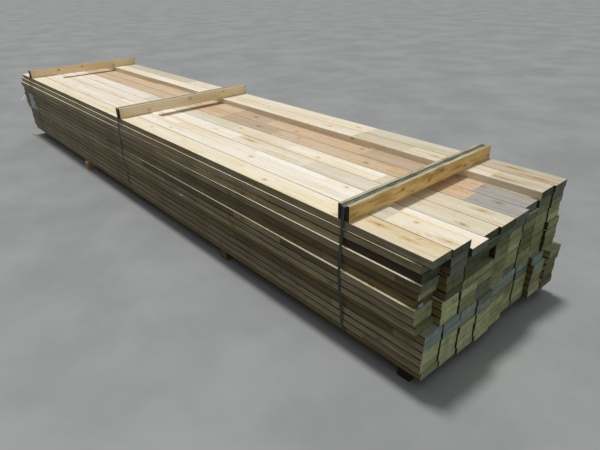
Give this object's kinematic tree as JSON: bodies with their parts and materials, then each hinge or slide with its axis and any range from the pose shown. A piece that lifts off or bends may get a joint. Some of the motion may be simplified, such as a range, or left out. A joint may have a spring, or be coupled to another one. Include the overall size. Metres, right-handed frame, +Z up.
{
  "type": "strapped pack of planed timber beams",
  "caption": "Long rectangular pack of planed softwood beams in flush layers, held by flat straps over grooved cross battens, raised on bearers.",
  "frame": {"origin": "on the floor, under the middle of the pack's bounding box", "axes": "+X along the beams towards the front ends, +Y across the pack, +Z up"},
  "size_m": [5.1994, 1.1566, 0.714],
  "materials": {
    "planed_softwood": "planed, unsealed",
    "batten_wood": "rough sawn",
    "bearer_wood": "rough sawn",
    "strapping": "embossed, slight sheen"
  },
  "bodies": {
    "root": {"layer_01_beams": "planed_softwood", "layer_02_beams": "planed_softwood", "layer_03_beams": "planed_softwood", "layer_04_beams": "planed_softwood", "layer_05_beams": "planed_softwood", "layer_06_beams": "planed_softwood", "layer_07_beams": "planed_softwood", "layer_08_beams": "planed_softwood", "layer_09_beams": "planed_softwood", "layer_10_beams": "planed_softwood", "layer_11_beams": "planed_softwood", "layer_12_beams": "planed_softwood", "layer_13_beams": "planed_softwood", "layer_14_beams": "planed_softwood", "layer_15_beams": "planed_softwood", "front_batten": "batten_wood", "middle_batten": "batten_wood", "rear_batten": "batten_wood", "front_strap": "strapping", "middle_strap": "strapping", "rear_strap": "strapping", "front_bearer": "bearer_wood", "middle_bearer": "bearer_wood", "rear_bearer": "bearer_wood"}
  },
  "joints": []
}
